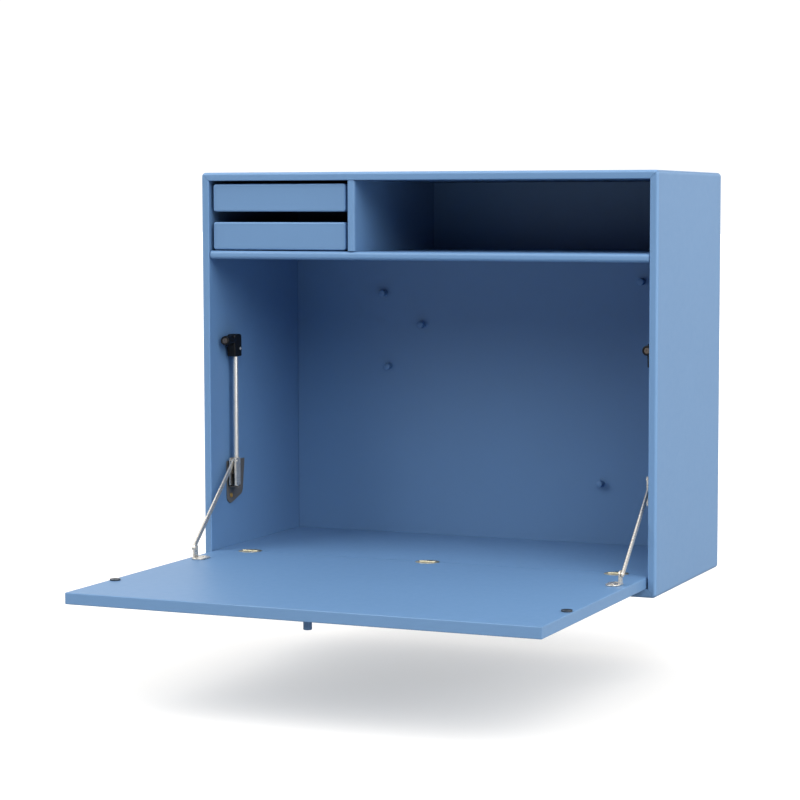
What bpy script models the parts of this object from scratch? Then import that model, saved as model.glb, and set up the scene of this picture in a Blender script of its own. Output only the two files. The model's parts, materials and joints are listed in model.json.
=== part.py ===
"""Wall-hung secretary desk: a mitred cabinet with a fall flap, two trays and two flap stays.

Units are metres. The origin is the centre of the back (wall) face, +Z is up, +Y points into the
wall, and +X is to the right of someone who faces the desk. Sizes below are written in cabinet
terms and place() turns them into this frame: x from the middle, depth back from the front edge
and height up from the underside. The desk is modelled with its flap open and its trays shut.
"""

import math

import bmesh
import bpy
from mathutils import Vector

# Cabinet
WIDTH = 0.696
HEIGHT = 0.582
DEPTH = 0.300
PANEL = 0.012               # lacquered fibreboard of the carcass, shelf and divider
BACK_PANEL = 0.012
CORNER_RADIUS = 0.006       # outer corners, where two panels meet in a mitre
FRONT_ROUNDING = 0.0025     # front edges of the four carcass panels
SHELF_ROUNDING = 0.0045     # front edges of the shelf and the divider
GAP = 0.0003                # joint line between pieces that touch
TOP_COMPARTMENT = 0.101     # clear height above the shelf
TRAY_BAY = 0.2215           # clear width between the left side and the divider

# Fall flap and the raised floor behind it
FLOOR_THICKNESS = 0.016
FLAP_SIDE_GAP = 0.002
FLAP_TOP_GAP = 0.002
FLAP_SETBACK = 0.006        # outer face of the shut flap behind the cabinet's front edge
FLAP_ROUNDING = 0.0012
KNOB_RADIUS = 0.0056
KNOB_LENGTH = 0.0175
KNOB_INSET = 0.041          # from the flap's free edge
STRIKE_RADIUS = 0.0073
STRIKE_HEIGHT = 0.0020
STRIKE_OFFSET = 0.006       # strike disc above the magnet's axis when the flap is shut
CATCH_CLEARANCE = 0.0005    # between the strike disc and the magnet when the flap is shut

# Cup hinges, three on one axis
HINGE_INSET = 0.052         # outer hinges, from the side panels
HINGE_RADIUS = 0.0175
HINGE_CUP_DEPTH = 0.009
HINGE_PIN_RADIUS = 0.0014
HINGE_PIN_LENGTH = 0.024

# Trays (shallow drawers) and their grooved runners
TRAY_FRONT_HEIGHT = 0.040
TRAY_FRONT_THICKNESS = 0.012
TRAY_FRONT_ROUNDING = 0.0025
TRAY_SIDE_REVEAL = 0.0045   # dark joint beside a tray front
TRAY_LOWER_REVEAL = 0.0015
TRAY_UPPER_REVEAL = 0.0045
TRAY_SETBACK = 0.005        # fronts behind the cabinet's front edge
TRAY_REAR_SPACE = 0.013     # behind a shut tray
TRAY_WALL = 0.009
TRAY_BOTTOM = 0.004
TRAY_BOTTOM_RAISE = 0.006   # tray bottom above the lower edge of its front
TRAY_WALL_DROP = 0.004      # tray walls below the upper edge of the front
RUNNER_WIDTH = 0.005
RUNNER_LIP = 0.003
RUNNER_WEB = 0.0015
RUNNER_START = 0.022        # depth at which a runner begins
RUNNER_END_GAP = 0.005      # behind a runner
TRAY_RUNNING_GAP = 0.0009   # beside the runner lips

# Flap stays, one at each side
STAY_INSET = 0.011          # rod axis from the side panel
ROD_DEPTH = 0.058
ROD_RADIUS = 0.004
ROD_FOOT_RAISE = 0.0905     # lower end of the rod above the raised floor
HEAD_RAISE = 0.284          # underside of the head above the raised floor
HEAD_HEIGHT = 0.034
HEAD_WIDTH = 0.014
HEAD_FRONT_REACH = 0.013        # in front of the rod axis
HEAD_REAR_REACH = 0.009         # behind the rod axis
NOSE_RAISE = 0.0245         # axis of the catch nose above the underside of the head
NOSE_RADIUS = 0.0068
MAGNET_RADIUS = 0.0042
MAGNET_THICKNESS = 0.002
ADJUSTER_RADIUS = 0.0024
ADJUSTER_HEIGHT = 0.0012
SLIDER_RAISE = 0.002        # slider above the lower end of the rod
SLIDER_LENGTH = 0.0405
SLIDER_REACH = 0.0125       # its open front edge in front of the rod axis
SHEET = 0.0015              # folded steel of the slider
SLIDER_CLEARANCE = 0.0007   # between the slider and the rod
SHOE_THICKNESS = 0.0012
SHOE_LENGTH = 0.016
SLIDER_PIVOT_REACH = 0.0085     # top of the arm in front of the rod axis
SLIDER_PIVOT_RAISE = 0.036      # top of the arm above the slider's lower end
FLAP_PIVOT_REACH = 0.096        # foot of the arm in front of the hinge axis
FLAP_PIVOT_RAISE = 0.015        # foot of the arm above the flap
ARM_WIDTH = 0.0078
ARM_THICKNESS = 0.003
ARM_PIN_RADIUS = 0.002
BRACKET_WIDTH = 0.020
BRACKET_LENGTH = 0.032
BRACKET_THICKNESS = 0.002
LUG_WIDTH = 0.011
LUG_THICKNESS = 0.0024
PLATE_THICKNESS = 0.0016
PLATE_FRONT_REACH = 0.0105      # fixing plate in front of the rod axis
PLATE_REAR_REACH = 0.0435       # fixing plate behind the rod axis
PLATE_RAISE = 0.0375            # its upper edge above the lower end of the rod
PLATE_TAB_DROP = 0.0145         # its screw below the lower end of the rod
PLATE_TAB_RADIUS = 0.0115
PLATE_SCREW_RADIUS = 0.0036
PLATE_SCREW_HEIGHT = 0.0018

# Pegs on the back panel: x, height
PEGS = [(-0.186, 0.400), (-0.122, 0.352), (-0.178, 0.287), (0.233, 0.422), (0.170, 0.119)]
PEG_RADIUS = 0.005
PEG_LENGTH = 0.012

# Values that follow from the ones above
INNER_HALF = WIDTH / 2 - PANEL
FLOOR_TOP = PANEL + FLOOR_THICKNESS
SHELF_TOP = HEIGHT - PANEL - TOP_COMPARTMENT
SHELF_UNDERSIDE = SHELF_TOP - PANEL
INNER_DEPTH = DEPTH - BACK_PANEL
FLAP_THICKNESS = FLOOR_THICKNESS - GAP
HINGE_DEPTH = FLAP_SETBACK + FLAP_THICKNESS + GAP
TRAY_LENGTH = INNER_DEPTH - TRAY_REAR_SPACE - TRAY_SETBACK
FLAP_LENGTH = SHELF_UNDERSIDE - FLAP_TOP_GAP - FLOOR_TOP - GAP
FLAP_REAR = HINGE_DEPTH - GAP
FLAP_FREE_EDGE = FLAP_REAR - FLAP_LENGTH
DIVIDER_LEFT = -INNER_HALF + TRAY_BAY
HINGES = {"left": HINGE_INSET - INNER_HALF, "middle": 0.0, "right": INNER_HALF - HINGE_INSET}
SIDES = {"left": -1, "right": 1}
ROD_BOTTOM = FLOOR_TOP + ROD_FOOT_RAISE
HEAD_BOTTOM = FLOOR_TOP + HEAD_RAISE
CATCH_HEIGHT = HEAD_BOTTOM + NOSE_RAISE
SLIDER_BOTTOM = ROD_BOTTOM + SLIDER_RAISE
SLIDER_FRONT = ROD_DEPTH - SLIDER_REACH
# Points seen from the side, as depth and height
SLIDER_PIVOT = (ROD_DEPTH - SLIDER_PIVOT_REACH, SLIDER_BOTTOM + SLIDER_PIVOT_RAISE)
FLAP_PIVOT = (HINGE_DEPTH - FLAP_PIVOT_REACH, FLOOR_TOP + FLAP_PIVOT_RAISE)
PLATE_SCREW = (ROD_DEPTH, ROD_BOTTOM - PLATE_TAB_DROP)
NOSE_FACE = HINGE_DEPTH + GAP + STRIKE_HEIGHT + CATCH_CLEARANCE
HALF_SLOT = ROD_RADIUS + SLIDER_CLEARANCE
HALF_SLIDER = HALF_SLOT + SHEET
CURVE_STEPS = 24


def place(x, depth, height):
    """Cabinet terms (from the middle, the front edge and the underside) to the part's frame."""
    return Vector((x, depth - DEPTH, height - HEIGHT / 2))


def material(name, colour, roughness, metallic=0.0):
    made = bpy.data.materials.new(name)
    made.use_nodes = True
    shader = made.node_tree.nodes["Principled BSDF"]
    shader.inputs["Base Color"].default_value = (*colour, 1.0)
    shader.inputs["Roughness"].default_value = roughness
    shader.inputs["Metallic"].default_value = metallic
    return made


def empty(name, position):
    """A joint's axis as an empty; the pieces that move about it are its children."""
    made = bpy.data.objects.new(name, None)
    made.location = position
    bpy.context.collection.objects.link(made)
    return made


def add(name, shape, origin, finish, parent=None):
    """Put a bmesh drawn in the part's frame into a named object with its origin at `origin`."""
    bmesh.ops.recalc_face_normals(shape, faces=shape.faces)
    bmesh.ops.translate(shape, verts=shape.verts, vec=-origin)
    mesh = bpy.data.meshes.new(name)
    shape.to_mesh(mesh)
    shape.free()
    made = bpy.data.objects.new(name, mesh)
    bpy.context.collection.objects.link(made)
    made.location = origin
    if parent is not None:
        made.parent = parent
        made.location = origin - parent.location
    if finish is not None:
        mesh.materials.append(finish)
    return made


def smooth(made, angle=35):
    made.data.shade_smooth()
    made.data.set_sharp_from_angle(angle=math.radians(angle))
    return made


def prism(outline, axis, start, end):
    """Carry an outline along x, depth or height; its points name the other two in that order."""
    ways = {"x": lambda a, b, c: (c, a, b),
            "depth": lambda a, b, c: (a, c, b),
            "height": lambda a, b, c: (a, b, c)}
    shape = bmesh.new()
    rings = [[shape.verts.new(place(*ways[axis](a, b, c))) for a, b in outline]
             for c in (start, end)]
    for ring in rings:
        shape.faces.new(ring)
    count = len(outline)
    for i in range(count):
        j = (i + 1) % count
        shape.faces.new((rings[0][i], rings[0][j], rings[1][j], rings[1][i]))
    return shape


def arc(centre, radius, first, last, steps):
    """Points on a circle from one angle to another, in degrees, both ends included."""
    angles = [math.radians(first + (last - first) * i / steps) for i in range(steps + 1)]
    return [(centre[0] + radius * math.cos(a), centre[1] + radius * math.sin(a)) for a in angles]


def circle(centre, radius, steps=CURVE_STEPS):
    return arc(centre, radius, 0, 360, steps)[:-1]


def block(name, low, high, finish, parent=None, rounding=0.0, steps=2):
    """A board between two corners given in cabinet terms, with all its edges rounded."""
    shape = prism([(low[0], low[1]), (high[0], low[1]), (high[0], high[1]), (low[0], high[1])],
                  "height", low[2], high[2])
    made = add(name, shape, (place(*low) + place(*high)) / 2, finish, parent)
    if rounding:
        bevel = made.modifiers.new("rounded edges", "BEVEL")
        bevel.width = rounding
        bevel.segments = steps
        smooth(made, 50)
    return made


def guide(name, shape, origin, parent=None):
    """A shape that only cuts into or joins onto another one."""
    made = add(name, shape, origin, None, parent)
    made.hide_render = True
    made.display_type = "WIRE"
    return made


def combine(made, operation, *guides):
    for other in guides:
        step = made.modifiers.new(other.name, "BOOLEAN")
        step.operation = operation
        step.solver = "EXACT"
        step.object = other


# Carcass

def mitred_panel(name, length, to_cabinet, finish):
    """A panel whose ends are mitred: u runs along it, v from its outer to its inner face."""
    mitre_gap = GAP / math.sqrt(2)
    corner = [(CORNER_RADIUS - dx, CORNER_RADIUS - dy)
              for dx, dy in arc((0, 0), CORNER_RADIUS, 45, 90, 3)]
    corner[0] = (corner[0][0] + mitre_gap, corner[0][1])
    near = [(PANEL + mitre_gap, PANEL)] + corner
    outline = near + [(length - u, v) for u, v in reversed(near)]
    shape = prism([to_cabinet(u, v) for u, v in outline], "depth", 0, DEPTH)
    shape.verts.ensure_lookup_table()
    count = len(outline)
    mitres = {(0, 1), (count - 2, count - 1)}
    front = [shape.edges.get((shape.verts[i], shape.verts[(i + 1) % count]))
             for i in range(count) if (i, i + 1) not in mitres]
    bmesh.ops.bevel(shape, geom=front, offset=FRONT_ROUNDING, segments=3, profile=0.5,
                    affect="EDGES")
    x, height = to_cabinet(length / 2, PANEL / 2)
    return smooth(add(name, shape, place(x, DEPTH / 2, height), finish))


def front_rounded_board(name, low, high, across, finish):
    """A board whose two long front edges are rounded; `across` is 0 for x or 2 for height."""
    depth0, depth1 = low[1], high[1]
    thick0, thick1 = low[2 - across], high[2 - across]
    r = SHELF_ROUNDING
    outline = [(depth1, thick0), (depth1, thick1)]
    outline += arc((depth0 + r, thick1 - r), r, 90, 180, 4)
    outline += arc((depth0 + r, thick0 + r), r, 180, 270, 4)
    if across == 0:
        shape = prism(outline, "x", low[0], high[0])
    else:
        shape = prism([(b, a) for a, b in outline], "height", low[2], high[2])
    return smooth(add(name, shape, (place(*low) + place(*high)) / 2, finish))


def carcass(lacquer):
    mitred_panel("top_panel", WIDTH, lambda u, v: (u - WIDTH / 2, HEIGHT - v), lacquer)
    mitred_panel("bottom_panel", WIDTH, lambda u, v: (u - WIDTH / 2, v), lacquer)
    mitred_panel("side_panel_left", HEIGHT, lambda u, v: (v - WIDTH / 2, u), lacquer)
    mitred_panel("side_panel_right", HEIGHT, lambda u, v: (WIDTH / 2 - v, u), lacquer)
    inner = INNER_HALF - GAP
    block("back_panel", (-inner, INNER_DEPTH, PANEL + GAP), (inner, DEPTH, HEIGHT - PANEL - GAP),
          lacquer)
    front_rounded_board("shelf", (-inner, 0, SHELF_UNDERSIDE),
                        (inner, INNER_DEPTH - GAP, SHELF_TOP), 0, lacquer)
    front_rounded_board("divider", (DIVIDER_LEFT, 0, SHELF_TOP + GAP),
                        (DIVIDER_LEFT + PANEL, INNER_DEPTH - GAP, HEIGHT - PANEL - GAP), 2,
                        lacquer)
    return block("inner_floor", (-inner, HINGE_DEPTH + GAP, PANEL + GAP),
                 (inner, INNER_DEPTH - GAP, FLOOR_TOP), lacquer)


def pegs(lacquer):
    for number, (x, height) in enumerate(PEGS, 1):
        shape = prism(circle((x, height), PEG_RADIUS), "depth",
                      INNER_DEPTH - GAP - PEG_LENGTH, INNER_DEPTH - GAP)
        tip = [e for e in shape.edges
               if all(abs(v.co.y - place(0, INNER_DEPTH - GAP - PEG_LENGTH, 0).y) < GAP / 2
                      for v in e.verts)]
        bmesh.ops.bevel(shape, geom=tip, offset=PEG_RADIUS / 4, segments=2, profile=0.5,
                        affect="EDGES")
        smooth(add(f"peg_{number}", shape, place(x, INNER_DEPTH - GAP, height), lacquer))


# Fall flap and its hinges

def flap(lacquer, strike_finish, axis):
    panel = block("flap_panel",
                  (FLAP_SIDE_GAP - INNER_HALF, FLAP_FREE_EDGE, FLOOR_TOP - FLAP_THICKNESS),
                  (INNER_HALF - FLAP_SIDE_GAP, FLAP_REAR, FLOOR_TOP), lacquer, axis,
                  FLAP_ROUNDING)
    knob_depth = FLAP_FREE_EDGE + KNOB_INSET
    top = FLOOR_TOP - FLAP_THICKNESS - GAP
    shape = prism(circle((0, knob_depth), KNOB_RADIUS), "height", top - KNOB_LENGTH, top)
    rim = [e for e in shape.edges
           if all(v.co.z < place(0, 0, top - KNOB_LENGTH / 2).z for v in e.verts)]
    bmesh.ops.bevel(shape, geom=rim, offset=KNOB_RADIUS / 6, segments=2, profile=0.5,
                    affect="EDGES")
    smooth(add("flap_knob", shape, place(0, knob_depth, top), lacquer, axis))
    strike_depth = HINGE_DEPTH - (CATCH_HEIGHT + STRIKE_OFFSET - FLOOR_TOP)
    for side, sign in SIDES.items():
        x = sign * (INNER_HALF - STAY_INSET)
        shape = prism(circle((x, strike_depth), STRIKE_RADIUS), "height",
                      FLOOR_TOP + GAP, FLOOR_TOP + GAP + STRIKE_HEIGHT)
        smooth(add(f"strike_disc_{side}", shape, place(x, strike_depth, FLOOR_TOP),
                   strike_finish, axis))
    return panel


def hinges(floor, panel, nickel, axis):
    """Two half-round cups let into the floor and the flap, and a pin on the axis between them."""
    groove = HINGE_PIN_RADIUS + 2 * GAP
    for side, x in HINGES.items():
        bore = guide(f"hinge_bore_{side}",
                     prism(circle((x, HINGE_DEPTH), HINGE_RADIUS + GAP, 32), "height",
                           FLOOR_TOP - HINGE_CUP_DEPTH - GAP, FLOOR_TOP + HINGE_CUP_DEPTH),
                     place(x, HINGE_DEPTH, FLOOR_TOP))
        combine(floor, "DIFFERENCE", bore)
        combine(panel, "DIFFERENCE", bore)
        channel = guide(f"hinge_groove_{side}",
                        prism(circle((HINGE_DEPTH, FLOOR_TOP), groove, 16), "x",
                              x - HINGE_RADIUS, x + HINGE_RADIUS),
                        place(x, HINGE_DEPTH, FLOOR_TOP))
        shift = GAP / HINGE_RADIUS
        trim = math.degrees(math.asin(shift))
        halves = {"floor": (arc((x, HINGE_DEPTH), HINGE_RADIUS, trim, 180 - trim, 16), None),
                  "flap": (arc((x, HINGE_DEPTH), HINGE_RADIUS, 180 + trim, 360 - trim, 16), axis)}
        for half, (outline, parent) in halves.items():
            shape = prism(outline, "height", FLOOR_TOP - HINGE_CUP_DEPTH, FLOOR_TOP)
            cup = smooth(add(f"hinge_{side}_{half}_cup", shape,
                             place(x, HINGE_DEPTH, FLOOR_TOP), nickel, parent))
            combine(cup, "DIFFERENCE", channel)
        shape = prism(circle((HINGE_DEPTH, FLOOR_TOP), HINGE_PIN_RADIUS, 16), "x",
                      x - HINGE_PIN_LENGTH / 2, x + HINGE_PIN_LENGTH / 2)
        smooth(add(f"hinge_{side}_pin", shape, place(x, HINGE_DEPTH, FLOOR_TOP), nickel))


# Trays

def tray(name, front_bottom, lacquer, board):
    """A shallow drawer: a front, two sides, a back and a thin bottom whose edges are tongues."""
    left, right = -INNER_HALF, DIVIDER_LEFT
    slide = empty(f"{name}_slide", place((left + right) / 2, TRAY_SETBACK, front_bottom))
    block(f"{name}_front", (left + TRAY_SIDE_REVEAL, TRAY_SETBACK, front_bottom),
          (right - TRAY_SIDE_REVEAL, TRAY_SETBACK + TRAY_FRONT_THICKNESS,
           front_bottom + TRAY_FRONT_HEIGHT), lacquer, slide, TRAY_FRONT_ROUNDING, 3)
    start = TRAY_SETBACK + TRAY_FRONT_THICKNESS + GAP
    end = TRAY_SETBACK + TRAY_LENGTH
    tongue = RUNNER_WEB + 3 * GAP
    bottom = front_bottom + TRAY_BOTTOM_RAISE
    wall_low = bottom + TRAY_BOTTOM + GAP
    wall_high = front_bottom + TRAY_FRONT_HEIGHT - TRAY_WALL_DROP
    outer = RUNNER_WIDTH + TRAY_RUNNING_GAP
    block(f"{name}_bottom", (left + tongue, start, bottom),
          (right - tongue, end, bottom + TRAY_BOTTOM), board, slide)
    walls = {"side_left": (left + outer, start, left + outer + TRAY_WALL, end),
             "side_right": (right - outer - TRAY_WALL, start, right - outer, end),
             "back": (left + outer + TRAY_WALL + GAP, end - TRAY_WALL,
                      right - outer - TRAY_WALL - GAP, end)}
    for wall, (x0, depth0, x1, depth1) in walls.items():
        block(f"{name}_{wall}", (x0, depth0, wall_low), (x1, depth1, wall_high), lacquer, slide,
              0.0008)
    return bottom


def runner(name, side, wall_x, bottom, finish):
    """A channel on the wall of the bay; the tongue of the tray bottom slides in its groove."""
    low, high = bottom - GAP, bottom + TRAY_BOTTOM + GAP
    reach = [GAP, RUNNER_WEB, RUNNER_WIDTH]
    root, web, lip = [wall_x + side * value for value in reach]
    outline = [(root, low - RUNNER_LIP), (lip, low - RUNNER_LIP), (lip, low), (web, low),
               (web, high), (lip, high), (lip, high + RUNNER_LIP), (root, high + RUNNER_LIP)]
    shape = prism(outline, "depth", RUNNER_START, INNER_DEPTH - RUNNER_END_GAP)
    add(name, shape, place(wall_x, RUNNER_START, bottom), finish)


def trays(lacquer, board, plastic):
    levels = {"lower": SHELF_TOP + TRAY_LOWER_REVEAL,
              "upper": HEIGHT - PANEL - TRAY_UPPER_REVEAL - TRAY_FRONT_HEIGHT}
    for level, front_bottom in levels.items():
        bottom = tray(f"{level}_tray", front_bottom, lacquer, board)
        runner(f"{level}_runner_left", 1, -INNER_HALF, bottom, plastic)
        runner(f"{level}_runner_right", -1, DIVIDER_LEFT, bottom, plastic)


# Flap stays

def wall_plate_outline():
    """The fixing plate seen from the side: a rounded tab at the lower front, a sloping rear."""
    top, rear = ROD_BOTTOM + PLATE_RAISE, ROD_DEPTH + PLATE_REAR_REACH
    outline = [(rear, top), (ROD_DEPTH - PLATE_FRONT_REACH, top)]
    outline += arc(PLATE_SCREW, PLATE_TAB_RADIUS, 180, 280, 6)
    shoulder = (rear - 1.5 * PLATE_TAB_RADIUS, ROD_BOTTOM - PLATE_TAB_RADIUS / 2)
    return outline + arc(shoulder, PLATE_TAB_RADIUS, 300, 350, 3)


def stay(side, sign, finishes, flap_axis):
    nickel, plastic, magnet, brass = finishes
    inner = sign * INNER_HALF
    axis_x = inner - sign * STAY_INSET

    def layer(first, second):
        """Two x values from distances off the rod axis, counted towards the desk's middle."""
        return sorted((axis_x - sign * first, axis_x - sign * second))

    # Fixing plate with the foot that carries the rod
    near, far = inner - sign * GAP, inner - sign * (GAP + PLATE_THICKNESS)
    plate = add(f"stay_{side}_wall_plate", prism(wall_plate_outline(), "x", near, far),
                place(inner, ROD_DEPTH, ROD_BOTTOM), nickel)
    foot_top = ROD_BOTTOM - GAP
    foot_low, foot_high = sorted((inner - sign * PLATE_THICKNESS, axis_x - sign * HALF_SLIDER))
    foot_outline = [(foot_low, ROD_DEPTH - HALF_SLIDER), (foot_high, ROD_DEPTH - HALF_SLIDER),
                    (foot_high, ROD_DEPTH + HALF_SLIDER), (foot_low, ROD_DEPTH + HALF_SLIDER)]
    foot = guide(f"stay_{side}_foot",
                 prism(foot_outline, "height", foot_top - PLATE_THICKNESS, foot_top),
                 place(axis_x, ROD_DEPTH, foot_top))
    combine(plate, "UNION", foot)
    screw_x = inner - sign * (2 * GAP + PLATE_THICKNESS)
    smooth(add(f"stay_{side}_plate_screw",
               prism(circle(PLATE_SCREW, PLATE_SCREW_RADIUS, 16), "x", screw_x,
                     screw_x - sign * PLATE_SCREW_HEIGHT),
               place(screw_x, *PLATE_SCREW), brass))

    # Rod
    smooth(add(f"stay_{side}_rod",
               prism(circle((axis_x, ROD_DEPTH), ROD_RADIUS, 20), "height", ROD_BOTTOM,
                     HEAD_BOTTOM - GAP),
               place(axis_x, ROD_DEPTH, ROD_BOTTOM), nickel))

    # Head with the catch nose, its magnet and the adjusting screw
    front, rear = ROD_DEPTH - HEAD_FRONT_REACH, ROD_DEPTH + HEAD_REAR_REACH
    top, r = HEAD_BOTTOM + HEAD_HEIGHT, HEAD_REAR_REACH / 2
    outline = [(front, HEAD_BOTTOM), (rear, HEAD_BOTTOM)]
    outline += arc((rear - r, top - r), r, 0, 90, 4) + arc((front + r, top - r), r, 90, 180, 4)
    head_layer = layer(-HEAD_WIDTH / 2, HEAD_WIDTH / 2)
    head = smooth(add(f"stay_{side}_head", prism(outline, "x", *head_layer),
                      place(axis_x, ROD_DEPTH, HEAD_BOTTOM), plastic))
    overlap = HEAD_FRONT_REACH / 2
    nose = guide(f"stay_{side}_nose",
                 prism(circle((axis_x, CATCH_HEIGHT), NOSE_RADIUS), "depth", NOSE_FACE,
                       front + overlap), place(axis_x, front, CATCH_HEIGHT))
    pocket_end = NOSE_FACE + MAGNET_THICKNESS + GAP
    pocket = guide(f"stay_{side}_magnet_pocket",
                   prism(circle((axis_x, CATCH_HEIGHT), MAGNET_RADIUS + GAP), "depth",
                         NOSE_FACE - overlap, pocket_end),
                   place(axis_x, NOSE_FACE, CATCH_HEIGHT))
    combine(head, "UNION", nose)
    combine(head, "DIFFERENCE", pocket)
    smooth(add(f"stay_{side}_magnet",
               prism(circle((axis_x, CATCH_HEIGHT), MAGNET_RADIUS), "depth", NOSE_FACE,
                     pocket_end - GAP), place(axis_x, NOSE_FACE, CATCH_HEIGHT), magnet))
    adjuster = (rear - 2 * ADJUSTER_RADIUS, HEAD_BOTTOM + HEAD_HEIGHT / 3)
    face = HEAD_WIDTH / 2 + GAP
    smooth(add(f"stay_{side}_adjusting_screw",
               prism(circle(adjuster, ADJUSTER_RADIUS, 16), "x",
                     *layer(face, face + ADJUSTER_HEIGHT)),
               place(axis_x - sign * face, *adjuster), nickel))

    # Slider: sheet folded round the rod, open at the front, with the brake shoe inside
    slide = empty(f"stay_{side}_slide", place(axis_x, *SLIDER_PIVOT))
    outline = [(axis_x + HALF_SLIDER, SLIDER_FRONT)]
    outline += arc((axis_x, ROD_DEPTH), HALF_SLIDER, 0, 180, 10)
    outline += [(axis_x - HALF_SLIDER, SLIDER_FRONT), (axis_x - HALF_SLOT, SLIDER_FRONT)]
    outline += arc((axis_x, ROD_DEPTH), HALF_SLOT, 180, 0, 10)
    outline += [(axis_x + HALF_SLOT, SLIDER_FRONT)]
    smooth(add(f"stay_{side}_slider",
               prism(outline, "height", SLIDER_BOTTOM, SLIDER_BOTTOM + SLIDER_LENGTH),
               place(axis_x, ROD_DEPTH, SLIDER_BOTTOM), nickel, slide))
    shoe_rear = ROD_DEPTH - ROD_RADIUS - GAP
    half = HALF_SLOT - GAP
    block(f"stay_{side}_brake_shoe",
          (axis_x - half, shoe_rear - SHOE_THICKNESS, SLIDER_BOTTOM + 2 * GAP),
          (axis_x + half, shoe_rear, SLIDER_BOTTOM + 2 * GAP + SHOE_LENGTH), plastic, slide)

    # Arm, from the flap's bracket to the slider
    pivot = empty(f"stay_{side}_arm_pivot", place(axis_x, *FLAP_PIVOT))
    pivot.parent = flap_axis
    pivot.location = place(axis_x, *FLAP_PIVOT) - flap_axis.location
    run = Vector(SLIDER_PIVOT) - Vector(FLAP_PIVOT)
    tilt = math.degrees(math.atan2(run.y, run.x))
    radius = ARM_WIDTH / 2
    outline = arc(FLAP_PIVOT, radius, tilt + 90, tilt + 270, 8)
    outline += arc(SLIDER_PIVOT, radius, tilt - 90, tilt + 90, 8)
    arm_layer = layer(-ARM_THICKNESS / 2, ARM_THICKNESS / 2)
    arm = add(f"stay_{side}_arm", prism(outline, "x", *arm_layer), place(axis_x, *FLAP_PIVOT),
              nickel)
    arm.parent = pivot
    arm.location = (0, 0, 0)
    smooth(arm)
    hole = guide(f"stay_{side}_arm_hole",
                 prism(circle(FLAP_PIVOT, ARM_PIN_RADIUS + GAP, 16), "x",
                       *layer(-ARM_THICKNESS, ARM_THICKNESS)), place(axis_x, *FLAP_PIVOT))
    combine(arm, "DIFFERENCE", hole)

    # Bracket on the flap: base plate, upright lug and the pin that the arm turns on
    lug_face = ARM_THICKNESS / 2 + GAP
    base_x = axis_x - sign * (lug_face + BRACKET_WIDTH / 2 - GAP)
    half_width, straight = BRACKET_WIDTH / 2, (BRACKET_LENGTH - BRACKET_WIDTH) / 2
    outline = arc((base_x, FLAP_PIVOT[0] + straight), half_width, 0, 180, 12)
    outline += arc((base_x, FLAP_PIVOT[0] - straight), half_width, 180, 360, 12)
    base_low, base_high = FLOOR_TOP + GAP, FLOOR_TOP + GAP + BRACKET_THICKNESS
    bracket = smooth(add(f"stay_{side}_flap_bracket",
                         prism(outline, "height", base_low, base_high),
                         place(base_x, FLAP_PIVOT[0], base_low), nickel, flap_axis))
    sunk = (base_low + base_high) / 2
    lug_outline = [(FLAP_PIVOT[0] - LUG_WIDTH / 2, sunk)]
    lug_outline += [(FLAP_PIVOT[0] + LUG_WIDTH / 2, sunk)]
    lug_outline += arc(FLAP_PIVOT, LUG_WIDTH / 2, 0, 180, 10)
    lug = guide(f"stay_{side}_lug",
                prism(lug_outline, "x", *layer(lug_face, lug_face + LUG_THICKNESS)),
                place(base_x, *FLAP_PIVOT))
    pin = guide(f"stay_{side}_pin",
                prism(circle(FLAP_PIVOT, ARM_PIN_RADIUS, 16), "x",
                      *layer(-ARM_THICKNESS / 2 - LUG_THICKNESS / 2,
                             lug_face + LUG_THICKNESS / 2)), place(axis_x, *FLAP_PIVOT))
    combine(bracket, "UNION", lug, pin)


def build():
    for old in list(bpy.data.objects):
        bpy.data.objects.remove(old, do_unlink=True)
    lacquer = material("blue lacquer", (0.085, 0.240, 0.530), 0.42)
    nickel = material("nickel-plated steel", (0.62, 0.60, 0.56), 0.22, 1.0)
    brass = material("brass", (0.58, 0.42, 0.18), 0.30, 1.0)
    magnet = material("sintered magnet", (0.25, 0.24, 0.23), 0.50, 1.0)
    plastic = material("black plastic", (0.012, 0.012, 0.013), 0.45)
    board = material("lacquered hardboard", (0.085, 0.240, 0.530), 0.50)

    floor = carcass(lacquer)
    pegs(lacquer)
    flap_axis = empty("flap_axis", place(0, HINGE_DEPTH, FLOOR_TOP))
    panel = flap(lacquer, plastic, flap_axis)
    hinges(floor, panel, nickel, flap_axis)
    trays(lacquer, board, plastic)
    for side, sign in SIDES.items():
        stay(side, sign, (nickel, plastic, magnet, brass), flap_axis)


build()
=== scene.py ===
# %% [markdown]
# # A wall-hung secretary desk
#
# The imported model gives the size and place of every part. This script loads it as a fixed
# frame, dresses it in real finishes, and rebuilds the parts that show as smooth surfaces worked
# out with numpy. All lengths are metres: +X is to the right of someone who faces the desk, +Y
# points into the wall and +Z is up.

# %% Load the frame
import json
import math

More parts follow.
